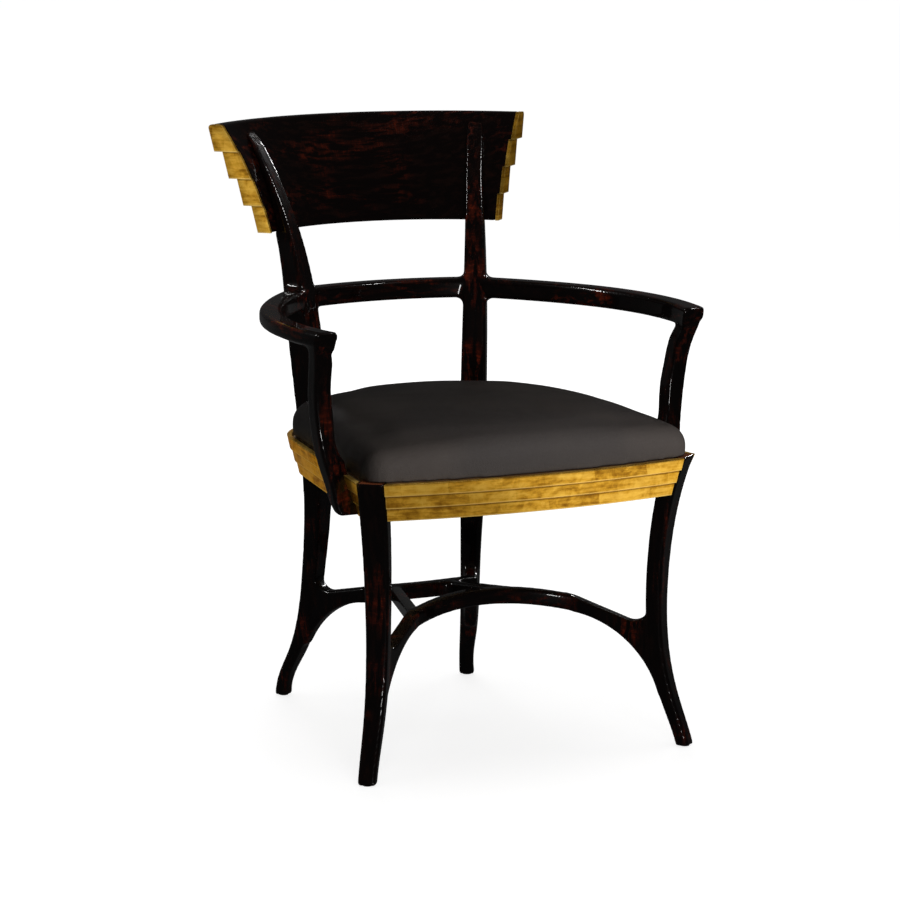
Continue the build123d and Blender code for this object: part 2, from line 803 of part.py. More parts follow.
write_piece(screw_set(post_screw_places, post_screw_length), "arm_post_screws")

# Stepped and gilded apron, cut where the legs, arm posts and stiles pass
with BuildPart() as apron_ring:
    tier_height = apron_height / apron_tiers
    for tier in range(apron_tiers):
        top_inset = tier * (apron_tier_step + apron_tier_slope)
        for height, inset in (
            (seat_height - (tier + 1) * tier_height, top_inset + apron_tier_slope),
            (seat_height - tier * tier_height, top_inset),
        ):
            with BuildSketch(Plane.XY.offset(height)):
                add(seat_outline(inset))
        loft(ruled=True)
    add(rail_core(seat_height - apron_height, seat_height, 0).part, mode=Mode.SUBTRACT)
    for room in (leg_slots, front_legs_room, stile_slots, arm_posts_room, post_slots):
        add(room.part, mode=Mode.SUBTRACT)


def write_lengths(ring, names):
    """Writes the lengths of a ring, named from the front to the back."""
    lengths = [length for length in ring.part.solids() if length.center().X > -1]
    lengths.sort(key=lambda length: length.center().Y)
    for name, length in zip(names, lengths, strict=True):
        with BuildPart() as piece:
            add(length)
        if abs(length.center().X) < 1:
            write_piece(piece, name)
        else:
            write_pair(piece, name)


write_lengths(apron_ring, ("apron_front", "apron_side_front", "apron_side_rear", "apron_back"))

# Corner blocks behind the legs and stiles
with BuildPart() as corner_blocks:
    for corner, out, across, start in (
        ((leg_top_x, leg_top_y), leg_out, leg_turn, front_block_start),
        (stile_seat, stile_out, stile_turn, rear_block_start),
    ):
        middle = along(corner, out, -start - block_thickness / 2)
        with BuildSketch(turned_plane(*middle, rail_top, across)):
            Rectangle(seat_side_x, block_thickness)
        extrude(amount=-block_height)
    mirror(about=Plane.YZ)
    with BuildSketch(Plane.XY.offset(rail_top)):
        add(seat_outline(rail_inset + glue_line))
    extrude(amount=-block_height, mode=Mode.INTERSECT)
    for room in (front_legs_room, stiles_room, bolt_holes, seat_screw_holes):
        add(room.part, mode=Mode.SUBTRACT)
write_piece(corner_blocks, "corner_blocks")
write_piece(screw_set(bolt_places, bolt_length), "corner_block_bolts")
write_piece(screw_set(seat_screw_places, seat_screw_length), "seat_screws")

# Seat rails behind the apron
with BuildPart() as rail_ring:
    add(rail_core(rail_top - rail_height, rail_top, glue_line).part)
    with BuildSketch(Plane.XY.offset(rail_top)):
        add(seat_outline(rail_inset))
    extrude(amount=-rail_height, mode=Mode.SUBTRACT)
    for room in (leg_slots, front_legs_room, stile_slots, seat_rail_holes, post_screw_holes):
        add(room.part, mode=Mode.SUBTRACT)
write_lengths(rail_ring, ("seat_rail_front", "seat_rail_side", "seat_rail_back"))
write_piece(dowel_set(seat_rail_places), "seat_rail_dowels")

# Seat board, resting on the rails and blocks
with BuildPart() as seat_board:
    with BuildSketch(Plane.XY.offset(rail_top)):
        add(cushion_outline(board_inset))
    extrude(amount=board_thickness)
    for room in (front_legs_room, stiles_room, seat_screw_holes):
        add(room.part, mode=Mode.SUBTRACT)
write_piece(seat_board, "seat_board")


def cushion_form(shrink):
    """The domed seat with its rolled edge, drawn in all round and at the top by shrink."""
    with BuildPart() as form:
        with BuildSketch(Plane.XY.offset(seat_height + fit_gap)):
            add(cushion_outline(cushion_inset + shrink))
        extrude(amount=crown_height - seat_height)
        with Locations((0, crown_middle_y, crown_height - crown_radius)):
            Sphere(crown_radius - shrink, mode=Mode.INTERSECT)
        fillet(form.faces().sort_by(Axis.Z)[-1].edges(), crown_roll - shrink)
        fillet(form.faces().sort_by(Axis.Z)[0].edges(), cushion_tuck - shrink)
    return form


# Foam and leather, notched round the stiles
stile_notches = both_sides(station_loft(stile_stations, stile_turn, edge_round, stile_notch_gap + leather))
cover_notches = both_sides(station_loft(stile_stations, stile_turn, edge_round, stile_notch_gap))
with BuildPart() as board_room:
    with BuildSketch(Plane.XY.offset(rail_top)):
        add(cushion_outline(board_inset - glue_line))
    extrude(amount=board_thickness + glue_line)
with BuildPart() as seat_foam:
    add(cushion_form(leather + glue_line).part)
    add(board_room.part, mode=Mode.SUBTRACT)
    add(stile_notches.part, mode=Mode.SUBTRACT)
write_piece(seat_foam, "seat_foam")
with BuildPart() as foam_room:
    add(cushion_form(leather).part)
    add(stile_notches.part, mode=Mode.SUBTRACT)
with BuildPart() as seat_cover:
    add(cushion_form(0).part)
    add(cover_notches.part, mode=Mode.SUBTRACT)
    add(foam_room.part, mode=Mode.SUBTRACT)
    add(board_room.part, mode=Mode.SUBTRACT)
write_piece(seat_cover, "seat_cover")
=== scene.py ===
# %% [markdown]
# # A dining armchair
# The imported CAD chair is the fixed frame: every solid keeps its place and its size. This lesson gives
# each piece its finish, and remakes in Blender what a solid can't show: the soft leather seat, the
# polished curves of the lacquered wood, the eased edges under the gold leaf and the screw heads.

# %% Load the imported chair
import json
import math

import bmesh
import bpy
import numpy as np
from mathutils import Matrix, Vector, kdtree, noise


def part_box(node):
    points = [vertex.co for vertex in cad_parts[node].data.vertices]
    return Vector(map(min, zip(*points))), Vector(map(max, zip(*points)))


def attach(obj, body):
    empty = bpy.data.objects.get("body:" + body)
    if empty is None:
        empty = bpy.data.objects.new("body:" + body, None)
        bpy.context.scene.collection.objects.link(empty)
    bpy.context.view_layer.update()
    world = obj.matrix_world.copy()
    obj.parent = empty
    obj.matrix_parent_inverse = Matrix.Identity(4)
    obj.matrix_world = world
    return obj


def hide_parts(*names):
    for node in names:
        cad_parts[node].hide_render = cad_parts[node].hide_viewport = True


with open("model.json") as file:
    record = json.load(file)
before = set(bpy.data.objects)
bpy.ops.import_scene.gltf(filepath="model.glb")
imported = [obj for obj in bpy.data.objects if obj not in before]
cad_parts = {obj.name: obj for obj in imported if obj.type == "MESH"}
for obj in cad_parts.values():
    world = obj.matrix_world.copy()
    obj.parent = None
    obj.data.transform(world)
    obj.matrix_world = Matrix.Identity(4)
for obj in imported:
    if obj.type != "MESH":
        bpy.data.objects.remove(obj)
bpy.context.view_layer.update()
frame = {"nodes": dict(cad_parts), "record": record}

nodes = frame["nodes"]
scene = bpy.context.scene

# %% [markdown]
# ## Camera
# The photograph was taken from the front left with a long lens, a little above the seat. The place
# comes from fitting the chair's own corners to the picture, so the camera has no shift at all.

# %% Set the camera
camera = bpy.data.objects.new("camera", bpy.data.cameras.new("camera"))
camera.data.sensor_width = 36
camera.data.lens = 145.47
camera.location = (-2.3161, -4.9075, 1.4040)
camera.rotation_euler = (math.radians(90 - 10.318), 0, math.radians(-25.461))
camera.data.clip_end = 50
scene.collection.objects.link(camera)
scene.camera = camera
scene.view_settings.view_transform = "Standard"
print("camera lens:", camera.data.lens)

# %% [markdown]
# ## Small tools for node trees
# Every finish below is a tree of nodes. Clicking them together takes minutes; a few short functions do
# the same in code. One adds a node and fills its sockets, and the others wrap what is used most.

# %% Node helpers
def set_inputs(tree, node, values):
    """Fills a node's sockets, each with a plain value or with a socket to link from."""
    for key, value in values.items():
        if isinstance(value, bpy.types.NodeSocket):
            tree.links.new(value, node.inputs[key])
        else:
            node.inputs[key].default_value = value


def put(tree, kind, inputs=None, **settings):
    """Adds a node to a tree, with its settings and its inputs."""
    made = tree.nodes.new(kind)
    for name, value in settings.items():
        setattr(made, name, value)
    set_inputs(tree, made, inputs or {})
    return made


def calc(tree, operation, first, second=0.5, clamp=False):
    """One step of arithmetic, as a socket."""
    return put(tree, "ShaderNodeMath", {0: first, 1: second}, operation=operation, use_clamp=clamp).outputs[0]


def blend_colour(tree, share, first, second):
    """Two colours mixed by a share, as a socket."""
    return put(tree, "ShaderNodeMix", {0: share, 6: first, 7: second}, data_type="RGBA").outputs[2]


def spread(tree, value, low, high, to_low=0.0, to_high=1.0):
    """A value stretched from one range to another, with soft ends."""
    inputs = {0: value, 1: low, 2: high, 3: to_low, 4: to_high}
    return put(tree, "ShaderNodeMapRange", inputs, interpolation_type="SMOOTHSTEP").outputs[0]


def cloud(tree, vector, scale, detail=4.0, roughness=0.55, distortion=0.0):
    """Soft noise between about 0.3 and 0.7, as a socket."""
    inputs = {
        "Vector": vector, "Scale": scale, "Detail": detail, "Roughness": roughness, "Distortion": distortion
    }
    return put(tree, "ShaderNodeTexNoise", inputs).outputs[0]


def split(tree, vector):
    """The X, Y and Z of a vector, as sockets."""
    return put(tree, "ShaderNodeSeparateXYZ", {0: vector}).outputs


def facing_up(tree):
    """How far a face looks upwards, as a socket."""
    return split(tree, put(tree, "ShaderNodeNewGeometry").outputs["Normal"])["Z"]


def part_of(tree, value, share):
    """A share of a value, as a socket."""
    return calc(tree, "MULTIPLY", value, share)


def stretched(tree, vector, scale, turn=(0, 0, 0)):
    """A vector scaled differently along each axis."""
    return put(tree, "ShaderNodeMapping", {"Vector": vector, "Scale": scale, "Rotation": turn}).outputs[0]


def start_group(name, inputs, outputs):
    """A shader node group with named sockets; gives the tree, its input sockets and its end node."""
    tree = bpy.data.node_groups.new(name, "ShaderNodeTree")
    for socket, kind, value in inputs:
        made = tree.interface.new_socket(socket, in_out="INPUT", socket_type="NodeSocket" + kind)
        if value is not None:
            made.default_value = value
    for socket, kind in outputs:
        tree.interface.new_socket(socket, in_out="OUTPUT", socket_type="NodeSocket" + kind)
    return tree, put(tree, "NodeGroupInput").outputs, put(tree, "NodeGroupOutput")


def use_group(tree, group, inputs):
    """A shared group placed in a material."""
    return put(tree, "ShaderNodeGroup", inputs, node_tree=group).outputs


def start_material(name):
    """A material with an empty tree: gives the material, its tree, its shader and object coordinates."""
    material = bpy.data.materials.new(name)
    material.use_nodes = True
    tree = material.node_tree
    tree.nodes.clear()
    shader = put(tree, "ShaderNodeBsdfPrincipled")
    put(tree, "ShaderNodeOutputMaterial", {"Surface": shader.outputs[0]})
    return material, tree, shader, put(tree, "ShaderNodeTexCoord").outputs["Object"]


def bump(tree, height, strength, distance):
    """A normal from a height in a material."""
    inputs = {"Height": height, "Strength": strength, "Distance": distance}
    return put(tree, "ShaderNodeBump", inputs).outputs[0]


# %% [markdown]
# ## Shared effects
# Wood figure, edges and fine handling marks turn up in more than one finish, so each is a group with named
# sockets. The figure is noise drawn out along the grain. Edges come from the bevel node: where a rounded
# normal differs from the true one, there is an edge. Lacquer, steel and nylon are lightened there as wear;
# the gold is lightened there partly as burnish and partly as painted highlight.

# %% Group: wood figure
figure_group, inner, end = start_group(
    "wood_figure",
    [("Vector", "Vector", None), ("Streak Scale", "Float", 60.0), ("Patch Scale", "Float", 7.0)],
    [("Streak", "Float"), ("Mottle", "Float"), ("Pore", "Float")],
)
along_grain = stretched(figure_group, inner["Vector"], (1, 1, 0.16))
streaks = cloud(figure_group, along_grain, inner["Streak Scale"], 6, 0.62, 0.3)
across_grain = stretched(figure_group, inner["Vector"], (0.45, 0.45, 1.6))
flecks = cloud(figure_group, across_grain, inner["Streak Scale"], 5, 0.65, 0.6)
patch_grain = stretched(figure_group, inner["Vector"], (1, 1, 0.55))
patches = cloud(figure_group, patch_grain, inner["Patch Scale"], 3, 0.5)
patch_mask = spread(figure_group, patches, 0.46, 0.68)
streak_mask = spread(figure_group, streaks, 0.45, 0.66)
fleck_mask = spread(figure_group, flecks, 0.44, 0.68)
mixed_mask = calc(figure_group, "MULTIPLY", streak_mask, calc(figure_group, "ADD", 0.35, fleck_mask))
pores = cloud(figure_group, stretched(figure_group, inner["Vector"], (1, 1, 0.03)), 420.0, 2, 0.5)
figure_group.links.new(streak_mask, end.inputs["Streak"])
figure_group.links.new(calc(figure_group, "MULTIPLY", patch_mask, mixed_mask, True), end.inputs["Mottle"])
figure_group.links.new(pores, end.inputs["Pore"])

# %% Group: edges, for wear, burnish and painted highlight
edge_group, inner, end = start_group(
    "worn_edges",
    [("Vector", "Vector", None), ("Radius", "Float", 0.002), ("Break Up", "Float", 90.0)],
    [("Edge", "Float")],
)
rounded = put(edge_group, "ShaderNodeBevel", {"Radius": inner["Radius"]}, samples=4).outputs[0]
true_normal = put(edge_group, "ShaderNodeNewGeometry").outputs["Normal"]
facing = put(
    edge_group, "ShaderNodeVectorMath", {0: rounded, 1: true_normal}, operation="DOT_PRODUCT"
).outputs["Value"]
edge_amount = spread(edge_group, facing, 0.995, 0.86)
broken = spread(edge_group, cloud(edge_group, inner["Vector"], inner["Break Up"], 4, 0.6), 0.3, 0.6)
edge_group.links.new(calc(edge_group, "MULTIPLY", edge_amount, broken), end.inputs["Edge"])

# %% Group: handling marks
marks_group, inner, end = start_group(
    "handling_marks",
    [("Vector", "Vector", None), ("Scale", "Float", 14.0)],
    [("Smudge", "Float"), ("Speck", "Float")],
)
smudges = cloud(marks_group, inner["Vector"], inner["Scale"], 4, 0.6, 0.4)
specks = cloud(marks_group, inner["Vector"], calc(marks_group, "MULTIPLY", inner["Scale"], 40.0), 2, 0.5)
marks_group.links.new(spread(marks_group, smudges, 0.35, 0.68), end.inputs["Smudge"])
marks_group.links.new(spread(marks_group, specks, 0.3, 0.7), end.inputs["Speck"])
print("groups:", [group.name for group in bpy.data.node_groups])

# %% [markdown]
# ## Lacquered wood
# The frame is red-brown figured wood under a deep, almost black lacquer, rubbed to a mirror gloss. Only
# where the light falls in does the red show, in broken streaks along the grain. A dark base colour with
# the figure in red, under a clear coat, gives both; the coat carries the sharp reflections.

# %% Material: lacquered wood, one for each direction of the grain
# The raw ends of the front legs beside the seat: heights where they begin and where they stop, softly
leg_end_begins = (0.425, 0.434)
leg_end_stops = (0.445, 0.441)


def lacquer(name, turn, mottle=1.0):
    """Dark gloss lacquer with the grain turned from upright by the given angles."""
    material, tree, shader, place = start_material(name)
    grain = stretched(tree, place, (1, 1, 1), turn)
    figure = use_group(tree, figure_group, {"Vector": grain, "Streak Scale": 120.0, "Patch Scale": 17.0})
    marks = use_group(tree, marks_group, {"Vector": place, "Scale": 16.0})
    edges = use_group(tree, edge_group, {"Vector": place, "Radius": 0.0035, "Break Up": 60.0})
    streak = part_of(tree, figure["Streak"], 0.55)
    brown = blend_colour(tree, streak, (0.0022, 0.0012, 0.0011, 1), (0.0075, 0.0030, 0.0022, 1))
    red = blend_colour(tree, part_of(tree, figure["Mottle"], mottle), brown, (0.105, 0.012, 0.0035, 1))
    edges_lightened = blend_colour(tree, part_of(tree, edges["Edge"], 0.16), red, (0.085, 0.026, 0.012, 1))
    height = split(tree, place)["Z"]
    low_enough = part_of(tree, spread(tree, facing_up(tree), 0.8, 0.97), spread(tree, height, *leg_end_stops))
    leg_end = part_of(tree, low_enough, spread(tree, height, *leg_end_begins))
    finish = blend_colour(tree, leg_end, edges_lightened, (0.11, 0.030, 0.012, 1))
    wood_roughness = spread(tree, figure["Streak"], 0, 1, 0.30, 0.22)
    set_inputs(
        tree,
        shader,
        {
            "Base Color": finish,
            "Roughness": calc(tree, "ADD", wood_roughness, part_of(tree, marks["Smudge"], 0.06)),
            "Specular IOR Level": 0.04,
            "Coat Weight": spread(tree, leg_end, 0.0, 1.0, 1.0, 0.1),
            "Coat Roughness": 0.05,
            "Coat IOR": 1.3,
            "Normal": bump(tree, figure["Pore"], 0.05, 0.0004),
        },
    )
    return material


quarter = math.radians(90)
lacquer_upright = lacquer("lacquer_grain_upright", (0, 0, 0))
lacquer_across = lacquer("lacquer_grain_across", (0, quarter, 0), 0.45)
lacquer_fore_aft = lacquer("lacquer_grain_fore_aft", (quarter, 0, 0))
print("lacquer materials made")

# %% [markdown]
# ## Gold leaf
# The apron and the panel ends are gilded: thin square leaves laid one over the next, and burnished. Their
# edges are lighter, partly from the burnish and partly as painted highlight. Each step of the mouldings gets
# a painted shadow under its overhang and a painted highlight along its lower lip. A brick pattern gives the
# leaves their own tone and the laps their lines.
# The leaves follow a line round the seat, so the two plan coordinates are joined in one.

# %% Material: gold leaf
tier = 0.019
panel_steps = 4
between_apron_and_panel = 0.6
gold_leaf, tree, shader, place = start_material("gold_leaf")
axes = split(tree, place)
round_seat = calc(tree, "SUBTRACT", axes["X"], axes["Y"])
wander = part_of(tree, cloud(tree, place, 16.0, 3), 0.014)
apron_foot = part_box("apron_front")[0].z
leaf_rise = calc(tree, "SUBTRACT", axes["Z"], apron_foot)
leaf_plane = put(
    tree, "ShaderNodeCombineXYZ", {0: calc(tree, "ADD", round_seat, wander), 1: leaf_rise, 2: 0.0}
).outputs[0]
leaves = put(
    tree,
    "ShaderNodeTexBrick",
    {
        "Vector": leaf_plane, "Scale": 1.0, "Brick Width": 0.079, "Row Height": tier,
        "Color1": (0.1, 0.1, 0.1, 1), "Color2": (1, 1, 1, 1), "Bias": 0.1,
        "Mortar": (0.5, 0.5, 0.5, 1), "Mortar Size": 0.0004, "Mortar Smooth": 1.0,
    },
    offset=0.37,
)
marks = use_group(tree, marks_group, {"Vector": place, "Scale": 26.0})
edges = use_group(tree, edge_group, {"Vector": place, "Radius": 0.0026, "Break Up": 160.0})
burnish = cloud(tree, stretched(tree, leaf_plane, (22, 150, 1)), 1.0, 5, 0.62, 0.2)
cloudy = cloud(tree, place, 52.0, 8, 0.68, 0.5)
tone = calc(tree, "ADD", part_of(tree, leaves.outputs["Color"], 0.34), part_of(tree, cloudy, 0.9))
tone = calc(tree, "ADD", tone, part_of(tree, spread(tree, burnish, 0.3, 0.7), 0.28))
ramp = put(tree, "ShaderNodeValToRGB", {0: spread(tree, tone, 0.42, 1.1)})
ramp.color_ramp.elements[0].color = (0.30, 0.122, 0.007, 1)
ramp.color_ramp.elements[1].color = (0.98, 0.575, 0.080, 1)
middle_tone = ramp.color_ramp.elements.new(0.5)
middle_tone.color = (0.72, 0.365, 0.030, 1)
lap_line = part_of(tree, leaves.outputs["Fac"], 0.2)
lapped = blend_colour(tree, lap_line, ramp.outputs[0], (0.40, 0.20, 0.02, 1))
# Where each gilded step sits, for a painted shadow under its overhang and a painted highlight on its lower
# lip
panel_foot, panel_top = (corner.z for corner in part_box("gilded_panel_end_left"))
panel_step = (panel_top - panel_foot) / panel_steps
on_panel = calc(tree, "GREATER_THAN", axes["Z"], between_apron_and_panel)
foot = calc(tree, "ADD", apron_foot, part_of(tree, on_panel, panel_foot - apron_foot))
pitch = calc(tree, "ADD", tier, part_of(tree, on_panel, panel_step - tier))
over_step = calc(tree, "FLOORED_MODULO", calc(tree, "SUBTRACT", axes["Z"], foot), pitch)
under_step = calc(tree, "SUBTRACT", pitch, over_step)
# Painted shadow: a dark line at the top of each tier, under the overhang of the tier above
tier_shadow = spread(tree, under_step, 0.0034, 0.0008)
lapped = blend_colour(tree, part_of(tree, tier_shadow, 0.75), lapped, (0.16, 0.062, 0.004, 1))
# Painted highlight: a bright line along the lower lip of each tier
lip_highlight = part_of(tree, spread(tree, over_step, 0.0026, 0.0012), spread(tree, cloudy, 0.25, 0.5, 0.55, 1.0))
lapped = blend_colour(tree, part_of(tree, lip_highlight, 0.9), lapped, (1.0, 0.66, 0.16, 1))
# Edges lightened: on the gold partly burnish and partly painted highlight
edges_lightened = blend_colour(tree, part_of(tree, edges["Edge"], 0.85), lapped, (1.0, 0.68, 0.19, 1))
rough = calc(tree, "ADD", spread(tree, cloudy, 0.3, 0.7, 0.40, 0.27), part_of(tree, marks["Smudge"], 0.08))
leaf_height = calc(tree, "ADD", part_of(tree, leaves.outputs["Color"], 0.5), burnish)
set_inputs(
    tree,
    shader,
    {
        "Base Color": edges_lightened,
        "Specular Tint": (1.0, 0.62, 0.20, 1),
        "Metallic": spread(tree, marks["Smudge"], 0, 1, 0.92, 0.78),
        "Roughness": rough,
        "Normal": bump(tree, leaf_height, 0.16, 0.0006),
    },
)
print("gold leaf made")

# %% [markdown]
# ## Leather
# The seat is covered in charcoal leather with a fine pebbled grain and a low sheen. Cells from a
# Voronoi texture make the grain, two sizes of them so it never looks stamped, and slow noise makes the
# tone and the gloss change from place to place as handled leather does.

# %% Material: seat leather
seat_leather, tree, shader, place = start_material("seat_leather")
marks = use_group(tree, marks_group, {"Vector": place, "Scale": 7.0})
ripple = put(tree, "ShaderNodeTexNoise", {"Vector": place, "Scale": 260.0, "Detail": 2.0}).outputs["Color"]
wobble = put(
    tree, "ShaderNodeVectorMath", {0: ripple, 1: (0.0016, 0.0016, 0.0016)}, operation="MULTIPLY"
).outputs[0]
uneven = put(tree, "ShaderNodeVectorMath", {0: place, 1: wobble}, operation="ADD").outputs[0]
pebble, fold_net = (
    put(
        tree, "ShaderNodeTexVoronoi", {"Vector": uneven, "Scale": scale}, feature="DISTANCE_TO_EDGE"
    ).outputs["Distance"]
    for scale in (720.0, 150.0)
)
folds = part_of(tree, spread(tree, fold_net, 0, 0.12), 0.55)
grain = calc(tree, "ADD", spread(tree, pebble, 0.0, 0.32), folds)
warmth = spread(tree, cloud(tree, place, 5.5, 3, 0.5), 0.38, 0.62)
hide = blend_colour(tree, warmth, (0.0300, 0.0262, 0.0246, 1), (0.0370, 0.0312, 0.0282, 1))
# Painted shade: the hide darkened along the creases between the pebbles
crease_shade = part_of(tree, calc(tree, "SUBTRACT", 1.0, spread(tree, pebble, 0, 0.12)), 0.4)
hide = blend_colour(tree, crease_shade, hide, (0.016, 0.0138, 0.0130, 1))
set_inputs(
    tree,
    shader,
    {
        "Base Color": hide,
        "Roughness": spread(tree, marks["Smudge"], 0, 1, 0.47, 0.38),
        "Specular IOR Level": 0.36,
        "Normal": bump(tree, grain, 0.4, 0.0007),
    },
)
print("leather made")

# %% [markdown]
# ## Hidden work
# Under the seat are plain hardwood rails and blocks, a plywood board, steel screws and nylon glides.
# They are seen only from below, but a chair gets turned over. Plies are thin bands of light and dark,
# rails carry the same wood figure as the lacquered frame, and steel and nylon are worn on their edges.

# %% Materials: hardwood, plywood, foam, steel and nylon
def plain_wood(name, turn, dark, light):
    """Unfinished wood with the grain turned from upright by the given angles."""
    material, tree, shader, place = start_material(name)
    grain = stretched(tree, place, (1, 1, 1), turn)
    figure = use_group(tree, figure_group, {"Vector": grain, "Streak Scale": 75.0, "Patch Scale": 10.0})
    tint = blend_colour(tree, figure["Streak"], dark, light)
    tint = blend_colour(tree, part_of(tree, figure["Mottle"], 0.35), tint, (0.22, 0.12, 0.055, 1))
    set_inputs(
        tree,
        shader,
        {
            "Base Color": tint,
            "Roughness": spread(tree, figure["Pore"], 0.3, 0.7, 0.72, 0.55),
            "Normal": bump(tree, figure["Pore"], 0.2, 0.0004),
        },
    )
    return material, tree, shader, place, tint


rail_wood = plain_wood("hardwood_rail", (0, quarter, 0), (0.30, 0.185, 0.09, 1), (0.45, 0.30, 0.16, 1))[0]
dowel_wood = plain_wood("hardwood_dowel", (0, 0, 0), (0.36, 0.24, 0.13, 1), (0.52, 0.37, 0.21, 1))[0]
plywood, tree, shader, place, tint = plain_wood(
    "plywood", (0, quarter, 0), (0.40, 0.28, 0.15, 1), (0.56, 0.42, 0.25, 1)
)
ply_thickness = 0.0024
ply = calc(tree, "PINGPONG", split(tree, place)["Z"], ply_thickness)
on_edge = spread(tree, calc(tree, "ABSOLUTE", facing_up(tree)), 0.6, 0.3)
ply_line = part_of(tree, spread(tree, ply, 0.0010, 0.0014), on_edge)
tree.links.new(blend_colour(tree, ply_line, tint, (0.19, 0.105, 0.05, 1)), shader.inputs["Base Color"])

foam, tree, shader, place = start_material("seat_foam")
cells = put(tree, "ShaderNodeTexVoronoi", {"Vector": place, "Scale": 600.0}).outputs["Distance"]
set_inputs(
    tree,
    shader,
    {
        "Base Color": blend_colour(tree, cells, (0.62, 0.52, 0.28, 1), (0.78, 0.70, 0.44, 1)),
        "Roughness": 0.95,
        "Normal": bump(tree, cells, 0.5, 0.001),
    },
)

steel, tree, shader, place = start_material("screw_steel")
marks = use_group(tree, marks_group, {"Vector": place, "Scale": 120.0})
edges = use_group(tree, edge_group, {"Vector": place, "Radius": 0.0004, "Break Up": 400.0})
dull = blend_colour(tree, marks["Smudge"], (0.42, 0.42, 0.43, 1), (0.30, 0.29, 0.28, 1))
worn = blend_colour(tree, part_of(tree, edges["Edge"], 0.7), dull, (0.75, 0.75, 0.76, 1))
set_inputs(
    tree,
    shader,
    {
        "Base Color": worn,
        "Metallic": 1.0,
        "Roughness": spread(tree, marks["Speck"], 0, 1, 0.28, 0.42),
        "Normal": bump(tree, marks["Speck"], 0.08, 0.0002),
    },
)

nylon, tree, shader, place = start_material("glide_nylon")
marks = use_group(tree, marks_group, {"Vector": place, "Scale": 60.0})
edges = use_group(tree, edge_group, {"Vector": place, "Radius": 0.0008, "Break Up": 300.0})
scuffed = blend_colour(tree, marks["Smudge"], (0.012, 0.012, 0.012, 1), (0.026, 0.025, 0.024, 1))
worn = blend_colour(tree, part_of(tree, edges["Edge"], 0.5), scuffed, (0.09, 0.088, 0.085, 1))
set_inputs(
    tree,
    shader,
    {
        "Base Color": worn,
        "Roughness": spread(tree, marks["Speck"], 0, 1, 0.42, 0.58),
        "Normal": bump(tree, marks["Speck"], 0.15, 0.0003),
    },
)
print("materials:", len(bpy.data.materials))

# %% [markdown]
# ## Which finish goes where
# The record names a slot for every solid. Lacquered pieces also need the direction of their grain,
# which follows the length of the piece: upright in legs, stiles and posts, across in the panel, the
# back rail and the cross bars, fore and aft in the arms and side bars.

# %% Give every solid its finish
slot_of = {piece["node"]: piece["material_slot"] for piece in frame["record"]["subparts"]}
plain_finishes = {
    "gold_leaf": gold_leaf, "seat_leather": seat_leather, "frame_wood": rail_wood, "plywood": plywood,
    "foam": foam, "steel": steel, "nylon": nylon,
}


def finish_of(node):
    """The material that a solid's name and slot call for."""
    if slot_of[node] != "lacquered_wood":
        return dowel_wood if "dowels" in node else plain_finishes[slot_of[node]]
    if node.startswith(("front_leg", "rear_stile", "arm_post")):
        return lacquer_upright
    return lacquer_fore_aft if node.startswith(("arm_", "side_stretcher")) else lacquer_across


def paint(mesh, *finishes):
    """Gives a mesh these materials and no others."""
    mesh.materials.clear()
    for finish in finishes:
        mesh.materials.append(finish)


for name, solid in nodes.items():
    paint(solid.data, finish_of(name))
print("finished solids:", len(nodes))

# %% [markdown]
# ## Leather seat
# The real seat is foam under one hide, drawn over a board and tucked in behind the gilded apron. A block
# with rounded edges looks like plastic; upholstery swells between the places that hold it. So the foam
# solid is copied, remeshed to even squares and blown up by a cloth simulation with its foot held. Only
# the outward part of the swelling is kept, capped low at the sides where posts and stiles stand close and
# higher on the crown, and then evened out, because raw cloth creases where a tight hide doesn't.

# %% Tools for meshes
def new_piece(name, mesh):
    """A mesh as an object at the origin."""
    piece = bpy.data.objects.new(name, mesh)
    scene.collection.objects.link(piece)
    return piece


def merged_copy(solid):
    """A solid's mesh with its loose triangles joined."""
    mesh = solid.data.copy()
    shape = bmesh.new()
    shape.from_mesh(mesh)
    bmesh.ops.remove_doubles(shape, verts=shape.verts, dist=1e-5)
    shape.to_mesh(mesh)
    shape.free()
    return mesh


def plain_mesh(piece):
    """The mesh of an object with its modifiers worked in."""
    bpy.context.view_layer.update()
    ready = piece.evaluated_get(bpy.context.evaluated_depsgraph_get())
    return bpy.data.meshes.new_from_object(ready)


def bake_modifiers(piece):
    """Works an object's modifiers into its mesh and removes them."""
    mesh = plain_mesh(piece)
    piece.modifiers.clear()
    piece.data = mesh


def revoxel(piece, size):
    """Remakes an object's mesh as an even skin."""
    skin = piece.modifiers.new("skin", "REMESH")
    skin.mode = "VOXEL"
    skin.voxel_size = size
    bake_modifiers(piece)


def points_of(mesh):
    """A mesh's points, as an array."""
    return np.array([point.co for point in mesh.vertices])


def normals_of(mesh):
    """The normals of a mesh's points, as an array."""
    return np.array([point.normal for point in mesh.vertices])


def edges_of(mesh):
    """The two ends of each edge of a mesh, as an array."""
    return np.array([edge.vertices[:] for edge in mesh.edges])


def move_points(mesh, points):
    """Moves a mesh's points to new places."""
    mesh.vertices.foreach_set("co", points.ravel())
    mesh.update()


def shade_smooth(mesh):
    """Shades every face of a mesh as part of a curve."""
    mesh.polygons.foreach_set("use_smooth", [True] * len(mesh.polygons))


def neighbour_mean(values, pairs):
    """The mean of each point's neighbours along the edges."""
    count = np.bincount(pairs.ravel(), minlength=len(values))
    columns = [
        np.bincount(pairs[:, 0], column[pairs[:, 1]], len(values))
        + np.bincount(pairs[:, 1], column[pairs[:, 0]], len(values))
        for column in values.T
    ]
    return np.array(columns).T / count[:, None]


